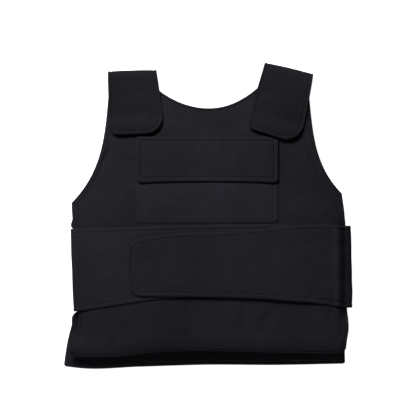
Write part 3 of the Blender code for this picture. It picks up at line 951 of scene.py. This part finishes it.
def under_flap(plan):
    """Height of the flap's lower face: on the panel where it is sewn on, stepping up onto the
    pocket, lower beside the pocket's edges, and standing off a little along its loose edge."""
    x, y = plan[..., 0], plan[..., 1]
    hanging = 1 - ramp(y, POCKET_Y[1] - FLAP_STEP, FLAP_Y[1])
    beside = 1 - ramp(np.minimum(x - FLAP_X[0], FLAP_X[1] - x), *FLAP_SINK_RUN)
    loose = 1 - ramp(y, FLAP_Y[0], FLAP_Y[0] + FLAP_LIFT_RUN)
    step = POCKET_THICKNESS + GAP - FLAP_SINK * beside + FLAP_LIFT * loose
    return over_front(plan) + step * hanging


def flap_outer(plan, away):
    """Doubled cloth with a topstitched border and a seam across its top."""
    full = ramp(away, FLAP_SEAM, FLAP_FULL_AT)
    height = FLAP_FLAT + FLAP_FULL * full - FLAP_GROOVE * dent(away, FLAP_SEAM, FLAP_GROOVE_WIDTH)
    height = height - FLAP_TOP_GROOVE * dent(plan[..., 1], FLAP_TOP_SEAM_Y, FLAP_GROOVE_WIDTH)
    height = height + FLAP_WAVE * waves(plan, FLAP_WAVE_SIZE, 13) * full
    return FLAP_RIM + (height - FLAP_RIM) * turned(away, FLAP_EDGE)


def thin_inner(height):
    """The inner face of thin cloth: flat, and turned up to meet the outer one at its border."""
    return lambda plan, away: height * (1 - turned(away, CLOTH_EDGE))


def seam_below(plan, inset, high):
    """A stitch line inside a border, kept where y is below high, in one run."""
    line = inside_line(border_of(plan), inset)
    keep = line[:, 1] < high
    start = np.flatnonzero(keep & ~np.roll(keep, 1))[0]
    return np.roll(line, -start, axis=0)[np.roll(keep, -start)]


plan = patch_plan(POCKET_X, POCKET_Y, POCKET_CORNER, (150, 110))
rows = [(seam_below(plan, inset, POCKET_Y[1] - POCKET_SEAM_END), inset) for inset in POCKET_SEAMS]
pocket, pocket_seams = dressed("chest_pocket", "pocket_cloth", "pouch", plan, resting(under_pocket),
                               pocket_outer, thin_inner(POCKET_RIM), rows)

plan = patch_plan(FLAP_X, FLAP_Y, FLAP_CORNER, (150, 80), sag=0.0026)
top_seam = np.stack([np.linspace(FLAP_X[0] + 0.002, FLAP_X[1] - 0.002, 400),
                     np.full(400, FLAP_TOP_SEAM_Y)], axis=-1)
rows = [(seam_below(plan, FLAP_SEAM, FLAP_TOP_SEAM_Y), FLAP_SEAM), (top_seam, FLAP_TOP_SEAM_AWAY)]
flap, flap_seams = dressed("pocket_flap", "pocket_cloth", "cloth", plan, resting(under_flap),
                           flap_outer, thin_inner(FLAP_RIM), rows)

# %% [markdown]
# ## Shoulder straps
# A strap is sewn under the back's shoulder, folds over the top edge, and its end lies on the chest,
# held by a hook-and-loop face. Cloth simulation erases such thin flat things, so the strap follows
# a path: a straight tail, half an ellipse round the fold, and the run down the chest to its tip.

# %% The straps
STRAPS = {
    "shoulder_strap_left": {
        "x": -0.1438, "y": 0.2755, "fold": 1.7, "lean": 5.0, "length": 0.1217, "slant": 0.0,
        "fold_width": 0.0924, "end_width": 0.1025, "full_at": 0.7, "corners": (0.015, 0.036),
        "tip_lift": 0.0050,
    },
    "shoulder_strap_right": {
        "x": 0.1540, "y": 0.2802, "fold": -12.8, "lean": -13.1, "length": 0.1335, "slant": 0.07,
        "fold_width": 0.0948, "end_width": 0.1030, "full_at": 0.55, "corners": (0.008, 0.038),
        "tip_lift": 0.0056,
    },
}
STRAP_FOLD_DEPTH = 0.011
STRAP_TAIL = 0.048
TIP_LIFT_RUN = (0.038, 0.014)
STRAP_SEAM = 0.0063
STRIP_EDGE = 0.0016
STRIP_RIM, STRIP_FLAT, STRIP_FULL_AT = 0.45, 0.86, 0.03
STRIP_ROLL, STRIP_ROLL_WIDTH = 0.00008, 0.0022
STRIP_GROOVE, STRIP_GROOVE_WIDTH = 0.0010, 0.0010
STRIP_WAVE, STRIP_WAVE_SIZE = 0.0002, 0.05


def half_ellipse(depth, half):
    """About the length of half an ellipse: pi times the root of the mean square of its radii."""
    return np.pi * np.sqrt((depth**2 + half**2) / 2)


def strap_shape(strap):
    """A strap's grid and its path. Flat points hold the distance from the fold's line, which grows
    towards the tip, and the distance from the strap's middle line."""
    fold, lean = np.radians([strap["fold"], strap["lean"]])
    across = np.array([np.cos(fold), np.sin(fold)])
    down = np.array([np.sin(lean), -np.cos(lean)])
    length, start = strap["length"], STRAP_FOLD_DEPTH + STRAP_THICKNESS
    middle = np.array([strap["x"], strap["y"]])
    low = GAP + STRAP_THICKNESS
    high = over_front(middle + start * down)
    arc = half_ellipse(STRAP_FOLD_DEPTH, (high - low) / 2)

    def width_at(reach):
        grown = np.clip(reach / (strap["full_at"] * length), 0.0, 1.0)
        return strap["fold_width"] + (strap["end_width"] - strap["fold_width"]) * grown

    def touch(flat):
        s, offset = flat[..., 0], flat[..., 1]
        beyond = start - s
        reach = np.where(beyond < 0, s, start + np.clip(beyond - arc, 0.0, None))
        run = reach * (1 + strap["slant"] * offset / width_at(reach))
        plan = middle + offset[..., None] * across + run[..., None] * down
        lifted = strap["tip_lift"] * ramp(reach, *(length - part for part in TIP_LIFT_RUN))
        top = over_front(plan) + lifted
        angle = np.pi / 2 - np.pi * np.clip(beyond / arc, 0.0, 1.0)
        round_fold = (top + low) / 2 + (top - low) / 2 * np.sin(angle)
        z = np.where(beyond < 0, top, np.where(beyond > arc, low, round_fold))
        turned_out = STRAP_FOLD_DEPTH * np.cos(angle) * (beyond > 0) * (beyond < arc)
        return np.concatenate([plan - turned_out[..., None] * down, z[..., None]], axis=-1)

    tail_end = start - arc - (STRAP_TAIL - start)
    reaches = tail_end + (length - tail_end) * crowded(190)
    s, share = np.meshgrid(reaches, crowded(84) - 0.5, indexing="ij")
    left, right = (drawn_in(length - s, radius) for radius in strap["corners"])
    offset = share * (width_at(s) - left - right) + (left - right) / 2
    return np.dstack([s, offset]), touch


def strip_outer(thickness, seam, seed, edge=STRIP_EDGE, groove=STRIP_GROOVE):
    """Doubled cloth: a turned edge from STRIP_RIM of the thickness, STRIP_FLAT of it between edge
    and stitches with a soft roll, a groove under the stitches, and all of it inside them."""
    def outer(flat, away):
        inside = ramp(away, seam, STRIP_FULL_AT)
        height = STRIP_FLAT * thickness + STRIP_ROLL * dent(away, 0.45 * seam, STRIP_ROLL_WIDTH)
        height = height - groove * dent(away, seam, STRIP_GROOVE_WIDTH)
        height = height + (1 - STRIP_FLAT) * thickness * inside
        height = height + STRIP_WAVE * waves(flat, STRIP_WAVE_SIZE, seed) * inside
        return STRIP_RIM * thickness + (height - STRIP_RIM * thickness) * turned(away, edge)

    return outer


def strip_inner(thickness):
    """The side that touches the vest: flat, and turned up to the border."""
    return lambda flat, away: STRIP_RIM * thickness * (1 - turned(away, STRIP_EDGE))


def make_strip(node, slot, plan, touch, outer, thickness, seam, width):
    """A folded strip of doubled cloth, with its row of stitches."""
    rows = [(inside_line(border_of(plan), seam), seam)]
    cloth, seams = dressed(node, slot, "cloth", plan, touch, outer, strip_inner(thickness), rows)
    length = float(np.ptp(plan[..., 0]))
    print(f"{node}: cut {width:.3f} by {length:.3f} m")


for number, (node, strap) in enumerate(STRAPS.items()):
    plan, touch = strap_shape(strap)
    outer = strip_outer(STRAP_THICKNESS, STRAP_SEAM, 21 + number)
    make_strip(node, "strap_cloth", plan, touch, outer, STRAP_THICKNESS, STRAP_SEAM,
               strap["end_width"])

# %% [markdown]
# ## Waist bands
# Two wide bands come out from under the back, turn up round the sides and lap over each other on the
# belly. The right one lies on top. They follow a path as the straps do, but their edges curve, so
# two tables give them.

# %% The bands
BANDS = {
    "side_band_under": {
        "fold": ({"x": -0.2462, "y": -0.1810}, {"x": -0.2520, "y": -0.0233}),
        "fold_depth": 0.0060, "fold_start": 90.0, "tail_fold_x": -0.2490, "tail_x": -0.2200,
        "end_x": 0.1670, "end_corners": (0.020, 0.020), "lift": 0.0, "end_lift": 0.0,
        "creases": table("from to deep wide", ((-0.2320, -0.1000), (-0.2050, -0.0960), 0.0005, 0.0080)),
        "edges": table(
            "x lower upper",
            (-0.252, -0.1811, -0.0245),
            (-0.175, -0.1692, -0.0222),
            (-0.115, -0.1596, -0.0202),
            (-0.080, -0.1555, -0.0190),
            (0.004, -0.1500, -0.0172),
            (0.170, -0.1480, -0.0165),
        ),
    },
    "side_band_top": {
        "fold": ({"x": 0.2616, "y": -0.1743}, {"x": 0.2586, "y": -0.0195}),
        "fold_depth": 0.0098, "fold_start": 48.0, "tail_fold_x": 0.2585, "tail_x": 0.2220,
        "end_x": -0.1530, "end_corners": (0.030, 0.024), "lift": BAND_THICKNESS + GAP,
        "end_lift": 0.0013,
        "creases": table(
            "from to deep wide",
            ((-0.1455, -0.1290), (-0.1450, -0.0700), 0.0009, 0.0016),
            ((0.2080, -0.1570), (0.2340, -0.1590), 0.0010, 0.0024),
            ((0.2240, -0.1640), (0.2560, -0.1620), 0.0012, 0.0030),
            ((0.2420, -0.0600), (0.2600, -0.0520), 0.0009, 0.0060),
            ((0.2440, -0.1180), (0.2640, -0.1300), 0.0010, 0.0070),
        ),
        "edges": table(
            "x lower upper",
            (-0.153, -0.1520, -0.0480),
            (-0.110, -0.1520, -0.0395),
            (-0.055, -0.1524, -0.0330),
            (0.045, -0.1541, -0.0300),
            (0.100, -0.1562, -0.0245),
            (0.155, -0.1606, -0.0185),
            (0.220, -0.1668, -0.0165),
            (0.260, -0.1743, -0.0190),
        ),
    },
}
LAP_STEP_X = (0.172, 0.243)
END_LIFT_RUN = (0.004, 0.022)
BAND_SEAM = 0.0078
BAND_EDGE = 0.0042
BAND_GROOVE = 0.0008
RIDGE, RIDGE_X, RIDGE_WIDTH = 0.0011, 0.2465, 0.0055
HUG, HUG_IN_X = 0.0030, (0.2460, 0.2620)


def band_shape(band):
    """A band's grid and its path. On the belly a flat point is a point seen from above, and past
    the fold its x goes on as the length of cloth round the fold and along the tail."""
    out = float(np.sign(band["fold"][0]["x"]))
    fold_y = [row["y"] for row in band["fold"]]
    fold_x = [row["x"] for row in band["fold"]]
    low = GAP + BAND_THICKNESS
    high = over_front(np.array([np.mean(fold_x), np.mean(fold_y)]))
    start = np.radians(band["fold_start"])
    arc = half_ellipse(band["fold_depth"], (high - low) / 2) * (0.5 + start / np.pi)

    def touch(flat):
        f, y = flat[..., 0], flat[..., 1]
        at_fold = np.interp(y, fold_y, fold_x)
        beyond = out * (f - at_fold)
        on_top = np.where(beyond < 0, f, at_fold)
        lapped = band["lift"] * (1 - ramp(on_top, *LAP_STEP_X))
        lapped = lapped + RIDGE * dent(on_top, RIDGE_X, RIDGE_WIDTH) - HUG * ramp(on_top, *HUG_IN_X)
        lapped = lapped + band["end_lift"] * (1 - ramp(np.abs(f - band["end_x"]), *END_LIFT_RUN))
        top = over_front(np.stack([on_top, y], axis=-1)) + lapped
        angle = start - (start + np.pi / 2) * np.clip(beyond / arc, 0.0, 1.0)
        half = (top - low) / (1 + np.sin(start))
        z = np.where(beyond < 0, top, low + half * (1 + np.sin(angle)))
        outermost = at_fold + out * band["fold_depth"]
        drawn = 1 - np.cos(angle)
        above = outermost + (at_fold - outermost) * drawn / (1 - np.cos(start))
        below = outermost + (band["tail_fold_x"] - outermost) * drawn
        x = np.where(angle > 0, above, below) - out * np.clip(beyond - arc, 0.0, None)
        return np.stack([np.where(beyond < 0, f, x), y, z], axis=-1)

    tail_end = np.mean(fold_x) + out * (arc + np.abs(band["tail_fold_x"] - band["tail_x"]))
    reaches = tail_end + (band["end_x"] - tail_end) * crowded(270)
    f, share = np.meshgrid(reaches, crowded(104), indexing="ij")
    edges = [curve_through(band["edges"], "x", column, f) for column in ("lower", "upper")]
    to_end = np.abs(f - band["end_x"])
    lower, upper = (edge + sign * drawn_in(to_end, radius) for edge, sign, radius in
                    zip(edges, (1, -1), band["end_corners"]))
    return np.dstack([f, lower + (upper - lower) * share]), touch


def band_outer(band, seed):
    """The outer height of a band: doubled cloth, with its creases."""
    smooth = strip_outer(BAND_THICKNESS, BAND_SEAM, seed, BAND_EDGE, BAND_GROOVE)
    creases = creased(band["creases"])
    return lambda flat, away: smooth(flat, away) + creases(flat)


for number, (node, band) in enumerate(BANDS.items()):
    plan, touch = band_shape(band)
    make_strip(node, "band_cloth", plan, touch, band_outer(band, 31 + number), BAND_THICKNESS,
               BAND_SEAM, float(np.ptp(plan[..., 1])))

# %% [markdown]
# ## Floor, light and camera
# The vest lies on a white floor. Two wide lights stand beyond its shoulders, a little to the left,
# so the edges that face the hem throw short black shadows. A weak one from the hem's side opens the
# deepest of them. The floor glows white and throws no light on the vest, so no grey shadow shows
# round it. The camera looks straight down through a long lens.

# %% The stage
FLOOR_SIZE = 40.0
FLOOR_Z = -0.0006
VIEW_WIDTH = 416 * 0.001893
VIEW_CENTRE = Vector((0.0, 0.0147, 0.025))
CAMERA_HEIGHT = 6.0

half = FLOOR_SIZE / 2
corners = np.array([[-half, -half], [half, -half], [half, half], [-half, half]])
corners = np.column_stack([corners, np.full(4, FLOOR_Z)])
floor = mesh_object("floor", corners, np.array([[0, 1, 2, 3]]))
white = Shader("white floor")
white.fill(white.surface, {"Base Color": (0.9, 0.9, 0.9, 1.0), "Roughness": 0.9,
                           "Specular IOR Level": 0.0, "Emission Color": (1.0, 1.0, 1.0, 1.0),
                           "Emission Strength": 1.0})
floor.data.materials.append(white.material)
floor.visible_diffuse = floor.visible_glossy = False
floor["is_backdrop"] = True

world = bpy.data.worlds.new("dark room")
world.use_nodes = True
world.node_tree.nodes["Background"].inputs["Strength"].default_value = 0.0
bpy.context.scene.world = world


def soft_light(name, place, size, power):
    """A wide, soft light at a place, turned towards the vest."""
    light = bpy.data.lights.new(name, "AREA")
    light.shape, light.energy = "RECTANGLE", power
    light.size, light.size_y = size
    lamp = bpy.data.objects.new(name, light)
    lamp.location = place
    lamp.rotation_euler = (VIEW_CENTRE - Vector(place)).to_track_quat("-Z", "Y").to_euler()
    lamp.visible_camera = False
    bpy.context.scene.collection.objects.link(lamp)


soft_light("near light", (-0.92, 1.857, 1.601), (1.2, 0.6), 58.0)
soft_light("top light", (-0.7, 4.90, 4.11), (3.0, 1.2), 64.0)
soft_light("light from the hem's side", (-0.3, -3.0, 0.8), (1.0, 1.0), 28.0)

lens = bpy.data.cameras.new("camera")
lens.sensor_width = 36.0
lens.lens = lens.sensor_width * (CAMERA_HEIGHT - VIEW_CENTRE.z) / VIEW_WIDTH
lens.clip_end = 100.0
camera = bpy.data.objects.new("camera", lens)
camera.location = (VIEW_CENTRE.x, VIEW_CENTRE.y, CAMERA_HEIGHT)
bpy.context.scene.collection.objects.link(camera)
bpy.context.scene.camera = camera
bpy.context.scene.view_settings.view_transform = "Standard"
print(f"camera {CAMERA_HEIGHT} m up with a {lens.lens:.0f} mm lens")

# %% Sizes, and the end
bpy.context.view_layer.update()
new_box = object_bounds()
grown = [[round((b - a) * 1000, 1) for a, b in zip(*pair)] for pair in zip(cad_box, new_box)]
print("grown by", grown, "mm")
